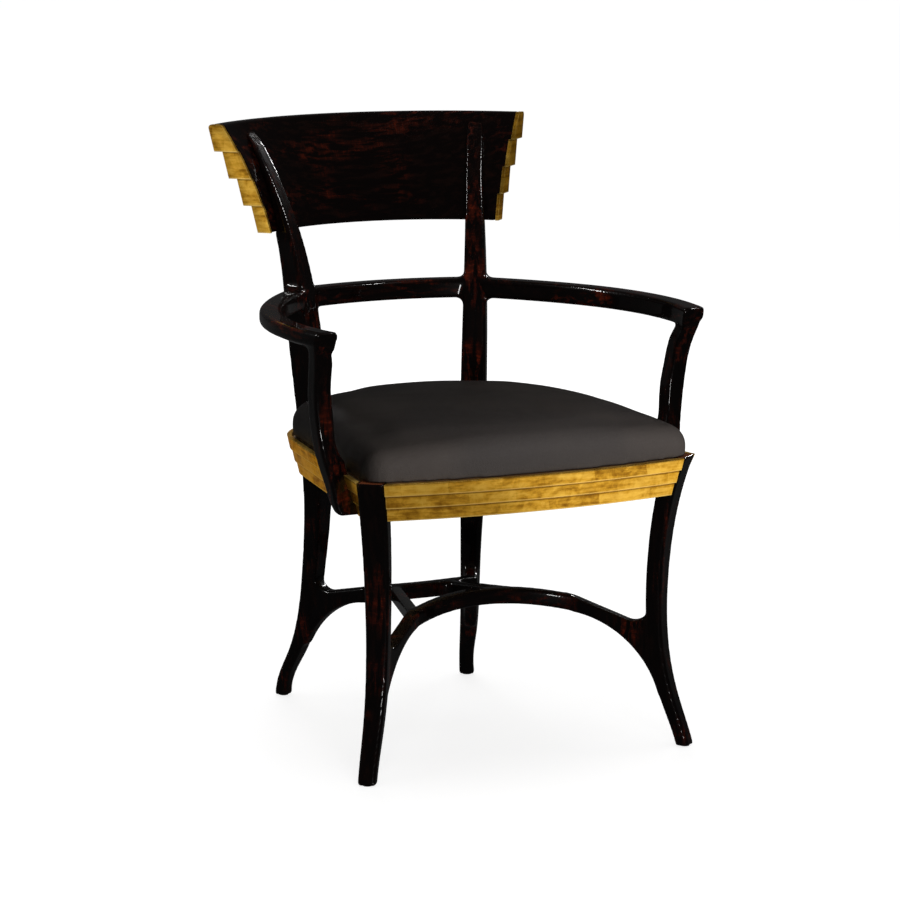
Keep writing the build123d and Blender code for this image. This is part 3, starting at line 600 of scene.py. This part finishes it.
def relaxed(points, pairs, rounds):
    """Points moved towards their neighbours and back, which rounds edges but keeps the size."""
    for step in range(rounds):
        for share in (0.6, -0.62):
            points = points + (neighbour_mean(points, pairs) - points) * share
    return points


# %% Copy the foam as even squares
square = 0.0052
cushion = new_piece("seat_cushion", merged_copy(nodes["seat_foam"]))
revoxel(cushion, square)
cushion_pairs = edges_of(cushion.data)
rest_points = relaxed(points_of(cushion.data), cushion_pairs, 12)
move_points(cushion.data, rest_points)
rest_normals = normals_of(cushion.data)
print("cushion squares:", len(cushion.data.polygons))

# %% Blow up the cover
def swell(piece, held, pressure, frames):
    """Cloth under pressure with some points held; gives the moved points."""
    group = piece.vertex_groups.new(name="held")
    group.add([int(i) for i in held], 1.0, "REPLACE")
    cloth = piece.modifiers.new("pressure", "CLOTH")
    cloth.settings.quality = 5
    cloth.settings.mass = 0.3
    cloth.settings.tension_stiffness = 18
    cloth.settings.compression_stiffness = 18
    cloth.settings.bending_stiffness = 0.6
    cloth.settings.use_pressure = True
    cloth.settings.uniform_pressure_force = pressure
    cloth.settings.vertex_group_mass = "held"
    cloth.settings.effector_weights.gravity = 0
    cloth.point_cache.frame_start = 1
    cloth.point_cache.frame_end = frames
    for step in range(1, frames + 1):
        scene.frame_set(step)
    moved = points_of(plain_mesh(piece))
    piece.modifiers.clear()
    piece.vertex_groups.clear()
    scene.frame_set(1)
    return moved


seat_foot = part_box("seat_foam")[0].z
foot_band = 0.006
side_cap = 0.0022
crown_cap = 0.009
even_rounds = 24
held = np.flatnonzero(rest_points[:, 2] < seat_foot + foot_band)
shift = swell(cushion, held, pressure=4.0, frames=20) - rest_points
upward = np.clip(rest_normals[:, 2], 0, 1)
cap = side_cap + (crown_cap - side_cap) * upward**2
swelling = np.clip((shift * rest_normals).sum(axis=1), 0, cap)[:, None]
for step in range(even_rounds):
    swelling = neighbour_mean(swelling, cushion_pairs)
swelling[held] = 0
points = rest_points + rest_normals * swelling
print("largest swelling:", round(float(swelling.max()), 4))

# %% [markdown]
# The hide is pulled tightest at the corners, so the roll of the front edge is gathered there in soft
# upright pleats, which die out towards the middle and towards the top. They are moved in the mesh
# itself, a fraction of a millimetre each, because gloss shows shape better than any painted line.

# %% Gather the front edge and draw the hide in at its foot
half_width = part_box("seat_foam")[1].x
pleat_pitch = 0.017
pleat_depth = 0.0005
edge_height = 0.045
tuck = 0.0016
for i, (x, y, z) in enumerate(points):
    outward = Vector(rest_normals[i])
    side_face = max(0.0, 1 - abs(outward.z) * 1.3)
    if side_face == 0 or z < seat_foot + 0.001:
        continue
    low = max(0.0, 1 - (z - seat_foot) / edge_height)
    run = x if outward.y < -0.6 else y
    corner = min(1.0, abs(x) / half_width) ** 2
    waver = noise.noise(Vector((run * 22, z * 14, 3.1)))
    strength = 0.45 + 0.55 * noise.noise(Vector((run * 31, 7.7, z * 9)))
    fold = math.sin(2 * math.pi * run / pleat_pitch + 3.5 * waver) * strength
    depth = pleat_depth * fold * (0.25 + 0.75 * corner) * side_face * low**0.6 - tuck * low**3 * side_face
    points[i] += np.array(outward) * depth
move_points(cushion.data, points)
smooth = cushion.modifiers.new("smooth", "SUBSURF")
smooth.levels = 1
smooth.render_levels = 1
bake_modifiers(cushion)
shade_smooth(cushion.data)
paint(cushion.data, seat_leather)
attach(cushion, "root")
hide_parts("seat_cover", "seat_foam")
print("cushion faces:", len(cushion.data.polygons), "top:", round(points_of(cushion.data)[:, 2].max(), 4))

# %% [markdown]
# ## Polished frame
# On the real chair the frame is glued up, shaped with rasps and only then lacquered, so a leg runs into
# its bars in one soft curve and every edge is rounded. Rounding each solid by itself would leave its
# joints as sharp steps. Here the solids of one glued group are joined in a voxel remesh, which merges
# what touches. Swelling that skin and drawing it back by the same amount fills the inner corners, as a
# round rasp leaves them, and a relaxing pass that doesn't shrink the wood rounds the outer edges. Two pegs
# of the rear stretcher come out of its wood near its ends, so the pegs are lacquered over with the rest.

# %% Tools for polishing
def islands(shape):
    """The sets of points in an edit mesh that hang together, each in the mesh's own order."""
    seen = set()
    for start in shape.verts:
        if start in seen:
            continue
        island, front = {start}, [start]
        while front:
            fresh = {edge.other_vert(point) for point in front for edge in point.link_edges} - island
            island |= fresh
            front = list(fresh)
        seen |= island
        yield sorted(island, key=lambda point: point.index)


def drop_pockets(mesh, least_volume=1e-5):
    """Takes closed pockets out of the wood: shells that are inside out, or only crumbs."""
    shape = bmesh.new()
    shape.from_mesh(mesh)
    pockets = []
    for shell in islands(shape):
        faces = {face for point in shell for face in point.link_faces}
        volume = sum(face.normal.dot(face.calc_center_median()) * face.calc_area() for face in faces) / 3
        if volume < least_volume:
            pockets.append(shell)
    bmesh.ops.delete(shape, geom=[point for shell in pockets for point in shell], context="VERTS")
    shape.to_mesh(mesh)
    shape.free()
    return len(pockets)


def polished(name, members, size, fill, rounds=24, most_triangles=190000):
    """One skin over a glued group of solids, with filled inner corners and rounded edges."""
    mesh = bpy.data.meshes.new(name)
    shape = bmesh.new()
    for member in members:
        shape.from_mesh(nodes[member].data)
    bmesh.ops.remove_doubles(shape, verts=shape.verts, dist=1e-5)
    shape.to_mesh(mesh)
    shape.free()
    piece = new_piece(name, mesh)
    revoxel(piece, size)
    for push in (fill, -fill):
        move_points(piece.data, points_of(piece.data) + normals_of(piece.data) * push)
        revoxel(piece, size)
    pockets = drop_pockets(piece.data)
    move_points(piece.data, relaxed(points_of(piece.data), edges_of(piece.data), rounds))
    triangles = len(piece.data.polygons) * 2
    if triangles > most_triangles:
        thin = piece.modifiers.new("thin flat places", "DECIMATE")
        thin.ratio = most_triangles / triangles
        bake_modifiers(piece)
    shade_smooth(piece.data)
    print(name, "faces:", len(piece.data.polygons), "closed pockets dropped:", pockets)
    return piece


# %% Polish the glued frame and the panel
def take_finish(piece, members):
    """Gives each face the finish of the solid that it lies on."""
    finishes = sorted({finish_of(member) for member in members}, key=lambda finish: finish.name)
    paint(piece.data, *finishes)
    tree = kdtree.KDTree(sum(len(nodes[member].data.polygons) for member in members))
    index = []
    for member in members:
        for face in nodes[member].data.polygons:
            tree.insert(face.center, len(index))
            index.append(finishes.index(finish_of(member)))
    tree.balance()
    for face in piece.data.polygons:
        face.material_index = index[tree.find(face.center)[1]]


# For each skin: how its nodes' names start, its pegs, the size of its squares and the fill of its corners
lacquered = [node for node in sorted(nodes) if slot_of[node] == "lacquered_wood"]
frame_groups = {
    "polished_frame": (
        ("front_leg", "rear_stile", "front_str", "rear_str", "side_str", "back_rail", "arm_"),
        ("stretcher_dowels",), 0.0021, 0.007,
    ),
    "polished_panel": (("back_panel",), (), 0.0019, 0.0012),
}
frame_pieces = []
for name, (starts, pegs, size, fill) in frame_groups.items():
    members = [node for node in lacquered if node.startswith(starts)]
    piece = polished(name, [*members, *pegs], size, fill)
    take_finish(piece, members)
    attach(piece, "root")
    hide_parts(*members, *pegs)
    frame_pieces.append(piece)

# %% [markdown]
# ## Gilded mouldings
# A carpenter eases every edge before gilding, because leaf tears on a sharp one, and those eased edges
# are the bright lines of the apron. The solids have sharp steps, so each gilded piece is copied, its
# flat faces joined and its edges rounded by a bevel of a little over a millimetre.

# %% Ease the edges of the gilded pieces
def eased(node, width=0.0013, segments=3, sharp=math.radians(28)):
    """A copy of a solid with rounded edges, which stands for it."""
    mesh = merged_copy(nodes[node])
    shape = bmesh.new()
    shape.from_mesh(mesh)
    bmesh.ops.dissolve_limit(
        shape, angle_limit=math.radians(0.4), verts=shape.verts, edges=shape.edges, delimit={"NORMAL"}
    )
    shape.to_mesh(mesh)
    shape.free()
    piece = new_piece(node + "_eased", mesh)
    bevel = piece.modifiers.new("ease", "BEVEL")
    bevel.width = width
    bevel.segments = segments
    bevel.limit_method = "ANGLE"
    bevel.angle_limit = sharp
    bake_modifiers(piece)
    shade_smooth(piece.data)
    piece.data.set_sharp_from_angle(angle=math.radians(40))
    paint(piece.data, finish_of(node))
    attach(piece, "root")
    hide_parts(node)
    return piece


gilded_pieces = [eased(node) for node in sorted(nodes) if slot_of[node] == "gold_leaf"]
for piece in gilded_pieces:
    print(piece.name, len(piece.data.polygons))

# %% [markdown]
# ## Screws and bolts
# Steel screws hold the corner blocks, the seat board, the posts and the panel; their heads show when the
# chair is turned over. Each could be modelled by hand, but they repeat, so a Geometry Nodes tree builds one
# screw, a countersunk head with a cross cut in it and a shank, and sets it on every point, turned its own
# way. The points come from the solids: the wide end of each one is its head.

# %% Find the screws in a solid
def screws_in(node):
    """For each screw of a solid: the top of its head, the way it points out, and its sizes."""
    shape = bmesh.new()
    shape.from_mesh(merged_copy(nodes[node]))
    found = []
    for island in islands(shape):
        points = np.array([point.co for point in island])
        middle = points.mean(axis=0)
        way = np.linalg.svd(points - middle)[2][0]
        along = (points - middle) @ way
        reach = np.linalg.norm(points - middle - along[:, None] * way, axis=1)
        wide = reach > reach.max() * 0.8
        if along[wide].mean() < 0:
            way, along = -way, -along
        thin = reach[along < along.min() + 0.3 * np.ptp(along)].max()
        head = along.max() - along[abs(reach - thin) < 0.05 * thin].max()
        found.append((middle + way * along.max(), way, reach.max(), head, thin, np.ptp(along) - head))
    shape.free()
    return found


for node in ("corner_block_bolts", "panel_screws"):
    print(node, [round(float(size) * 1000, 1) for size in screws_in(node)[0][2:]])

# %% The tree that builds and places the screws
screw_sizes = ("Head Radius", "Head Height", "Shank Radius", "Shank Length")
screw_tree = bpy.data.node_groups.new("screw_maker", "GeometryNodeTree")
screw_tree.interface.new_socket("Points", in_out="INPUT", socket_type="NodeSocketGeometry")
for name in screw_sizes:
    screw_tree.interface.new_socket(name, in_out="INPUT", socket_type="NodeSocketFloat")
screw_tree.interface.new_socket("Finish", in_out="INPUT", socket_type="NodeSocketMaterial")
screw_tree.interface.new_socket("Screws", in_out="OUTPUT", socket_type="NodeSocketGeometry")
given = put(screw_tree, "NodeGroupInput").outputs


def size_of(factor, socket):
    """A size as a share of one of the tree's inputs."""
    return part_of(screw_tree, given[socket], factor)


def shifted(part, depth, turn=0.0):
    """A part moved along the screw and turned about it."""
    place = put(screw_tree, "ShaderNodeCombineXYZ", {2: depth}).outputs[0]
    moves = {"Geometry": part, "Translation": place, "Rotation": (0, 0, turn)}
    return put(screw_tree, "GeometryNodeTransform", moves).outputs[0]


sunk_head = put(
    screw_tree, "GeometryNodeMeshCone",
    {"Vertices": 32, "Radius Top": given["Head Radius"], "Radius Bottom": given["Shank Radius"],
     "Depth": given["Head Height"]},
).outputs["Mesh"]
cut_size = put(
    screw_tree, "ShaderNodeCombineXYZ",
    {0: size_of(1.15, "Head Radius"), 1: size_of(0.24, "Head Radius"), 2: size_of(1.1, "Head Height")},
).outputs[0]
cut = put(screw_tree, "GeometryNodeMeshCube", {"Size": cut_size}).outputs[0]
slotted = put(
    screw_tree, "GeometryNodeMeshBoolean",
    {"Mesh 1": shifted(sunk_head, size_of(-1.0, "Head Height")), "Mesh 2": cut}, operation="DIFFERENCE",
)
screw_tree.links.new(shifted(cut, 0.0, quarter), slotted.inputs["Mesh 2"])
shank = put(
    screw_tree, "GeometryNodeMeshCylinder",
    {"Vertices": 20, "Radius": given["Shank Radius"], "Depth": given["Shank Length"]},
)
shank_depth = calc(screw_tree, "SUBTRACT", size_of(-0.5, "Shank Length"), size_of(0.98, "Head Height"))
whole = put(screw_tree, "GeometryNodeJoinGeometry", {0: slotted.outputs[0]})
screw_tree.links.new(shifted(shank.outputs["Mesh"], shank_depth), whole.inputs[0])
way_out = put(screw_tree, "GeometryNodeInputNamedAttribute", {"Name": "way_out"}, data_type="FLOAT_VECTOR")
turned = put(screw_tree, "FunctionNodeAlignRotationToVector", {"Vector": way_out.outputs[0]}, axis="Z")
placed = put(
    screw_tree, "GeometryNodeInstanceOnPoints",
    {"Points": given["Points"], "Instance": whole.outputs[0], "Rotation": turned.outputs[0]},
)
real = put(screw_tree, "GeometryNodeRealizeInstances", {0: placed.outputs[0]})
painted = put(
    screw_tree, "GeometryNodeSetMaterial", {"Geometry": real.outputs[0], "Material": given["Finish"]}
)
put(screw_tree, "NodeGroupOutput", {0: painted.outputs[0]})
screw_inputs = {
    item.name: item.identifier for item in screw_tree.interface.items_tree if item.in_out == "INPUT"
}

# %% Set the screws in the chair
screw_pieces = []
for node in ("corner_block_bolts", "seat_screws", "arm_post_screws", "panel_screws"):
    found = screws_in(node)
    mesh = bpy.data.meshes.new(node + "_cut")
    mesh.from_pydata([tuple(screw[0]) for screw in found], [], [])
    ways = mesh.attributes.new("way_out", "FLOAT_VECTOR", "POINT")
    ways.data.foreach_set("vector", np.array([screw[1] for screw in found]).ravel())
    piece = new_piece(node + "_cut", mesh)
    maker = piece.modifiers.new("screws", "NODES")
    maker.node_group = screw_tree
    for name, value in zip(screw_sizes, found[0][2:]):
        maker[screw_inputs[name]] = float(value)
    maker[screw_inputs["Finish"]] = steel
    bake_modifiers(piece)
    piece.data.validate()
    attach(piece, "root")
    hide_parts(node)
    screw_pieces.append(piece)
    print(piece.name, "screws:", len(found), "faces:", len(piece.data.polygons))

# %% [markdown]
# ## Light and stage
# A white studio that keeps black lacquer black. The floor is white to the lens and dark to the gloss, and
# so is the wall. Wide boxes overhead, in front and behind only fill. Each finish then gets its own gloss,
# by light linking, as flags and boards on stands would give it: two tall strips behind the chair draw streaks
# down the lacquered edges that lean back, two small windows set sparks on its curves, boards low down light
# the gilded steps from below, and a box in front puts the sheen on the roll of the leather.

# %% Pale floor
floor_shape = bmesh.new()
bmesh.ops.create_grid(floor_shape, x_segments=8, y_segments=8, size=60)
floor_mesh = bpy.data.meshes.new("floor")
floor_shape.to_mesh(floor_mesh)
floor_shape.free()
floor = new_piece("floor", floor_mesh)
floor_paint, tree, shader, place = start_material("floor_paint")
pale = blend_colour(tree, cloud(tree, place, 1.2, 2), (0.30, 0.30, 0.30, 1), (0.32, 0.32, 0.32, 1))
set_inputs(tree, shader, {"Base Color": pale, "Roughness": 0.8})
away = put(tree, "ShaderNodeVectorMath", {0: place}, operation="LENGTH").outputs["Value"]
rays = put(tree, "ShaderNodeLightPath").outputs
lift = calc(tree, "MULTIPLY", rays["Is Camera Ray"], spread(tree, away, 0.7, 3.2, 0.81, 1.0))
glow = put(tree, "ShaderNodeEmission", {"Color": (1, 1, 1, 1), "Strength": lift})
lit = put(tree, "ShaderNodeAddShader", {0: shader.outputs[0], 1: glow.outputs[0]})
shade = put(tree, "ShaderNodeEmission", {"Color": (1, 1, 1, 1), "Strength": 0.04})
seen = put(tree, "ShaderNodeMixShader", {0: rays["Is Glossy Ray"], 1: lit.outputs[0], 2: shade.outputs[0]})
tree.links.new(seen.outputs[0], tree.nodes["Material Output"].inputs["Surface"])
paint(floor.data, floor_paint)

# %% Studio light
def gather(name, pieces):
    """A collection that a light can be kept to."""
    group = bpy.data.collections.new(name)
    for piece in pieces:
        group.objects.link(piece)
    return group


def softbox(name, place, aim, size, power, kept_to, in_gloss=True, in_fill=True):
    """An area light aimed at a point and kept to some pieces, for their gloss, their fill or both."""
    light = bpy.data.lights.new(name, "AREA")
    light.shape = "RECTANGLE"
    light.size, light.size_y = size
    light.energy = power
    lamp = bpy.data.objects.new(name, light)
    lamp.location = place
    lamp.rotation_euler = (Vector(aim) - Vector(place)).to_track_quat("-Z", "Y").to_euler()
    lamp.visible_camera = False
    lamp.visible_glossy = in_gloss
    lamp.visible_diffuse = in_fill
    lamp.light_linking.receiver_collection = kept_to
    scene.collection.objects.link(lamp)


edge_work = gather("edge_work", frame_pieces[:1])
gold_work = gather("gold_work", gilded_pieces)
hide_work = gather("hide_work", [cushion])
hard_work = gather("hard_work", [*nodes.values(), *frame_pieces, *gilded_pieces, *screw_pieces, floor])
chest_high = (0, 0, 0.7)
softbox("overhead_box", (0.2, 0.2, 3.6), (0, 0, 0), (3.0, 3.0), 95, hard_work, in_gloss=False)
softbox("front_box", (-1.2, -3.4, 2.0), (0, 0, 0.5), (2.0, 1.4), 60, hard_work, in_gloss=False)
softbox("back_box", (1.2, 3.4, 2.0), (0, 0, 0.5), (2.0, 1.4), 45, hard_work, in_gloss=False)
softbox("left_strip", (-2.9, 1.2, 2.2), chest_high, (0.14, 1.7), 60, edge_work, in_fill=False)
softbox("right_strip", (3.1, 1.7, 2.4), chest_high, (0.14, 1.7), 70, edge_work, in_fill=False)
softbox("high_window", (1.5, -1.6, 2.8), chest_high, (0.35, 0.35), 30, edge_work, in_fill=False)
softbox("low_window", (-0.8, -2.6, 0.25), chest_high, (0.3, 0.3), 12, edge_work, in_fill=False)
softbox("floor_board", (0, 0, 0.004), (0, 0, 1), (5.0, 5.0), 22, gold_work, in_fill=False)
softbox("bright_board", (1.15, -1.0, 0.006), (1.15, -1.0, 1), (1.9, 1.5), 6.5, gold_work, in_fill=False)
softbox("left_board", (-2.2, -0.7, 0.5), (-0.2, 0.2, 0.8), (1.4, 1.2), 4.5, gold_work, in_fill=False)
softbox("right_board", (2.2, -0.7, 0.5), (0.2, 0.2, 0.8), (1.4, 1.2), 2.5, gold_work, in_fill=False)
softbox("back_board", (0.3, 2.2, 0.4), (0, 0, 0.6), (2.2, 0.8), 4.0, gold_work, in_fill=False)
softbox("gold_glint", (0.6, -2.4, 1.6), (0, -0.3, 0.42), (1.6, 0.6), 14, gold_work)
softbox("leather_front", (1.0, -2.9, 0.95), (0.05, -0.25, 0.47), (2.0, 1.0), 165, hide_work, in_gloss=False)
softbox("leather_back", (-0.8, 2.9, 1.0), (0, 0.1, 0.47), (2.0, 1.0), 30, hide_work, in_gloss=False)
softbox("leather_top", (0.4, 0.4, 3.2), (0, 0, 0.5), (2.0, 2.0), 12, hide_work, in_gloss=False)
softbox("leather_sheen", (1.2, -2.2, 1.6), (0.05, -0.25, 0.47), (1.6, 1.0), 9, hide_work)

# %% Dim wall
world = bpy.data.worlds.new("studio")
world.use_nodes = True
tree = world.node_tree
tree.nodes.clear()
to_lens = put(tree, "ShaderNodeLightPath").outputs["Is Camera Ray"]
dim = put(tree, "ShaderNodeBackground", {"Color": (1, 1, 1, 1), "Strength": 0.03})
white = put(tree, "ShaderNodeBackground", {"Color": (1, 1, 1, 1), "Strength": 1.0})
wall = put(tree, "ShaderNodeMixShader", {0: to_lens, 1: dim.outputs[0], 2: white.outputs[0]})
put(tree, "ShaderNodeOutputWorld", {"Surface": wall.outputs[0]})
scene.world = world
print("lights:", len(bpy.data.lights))
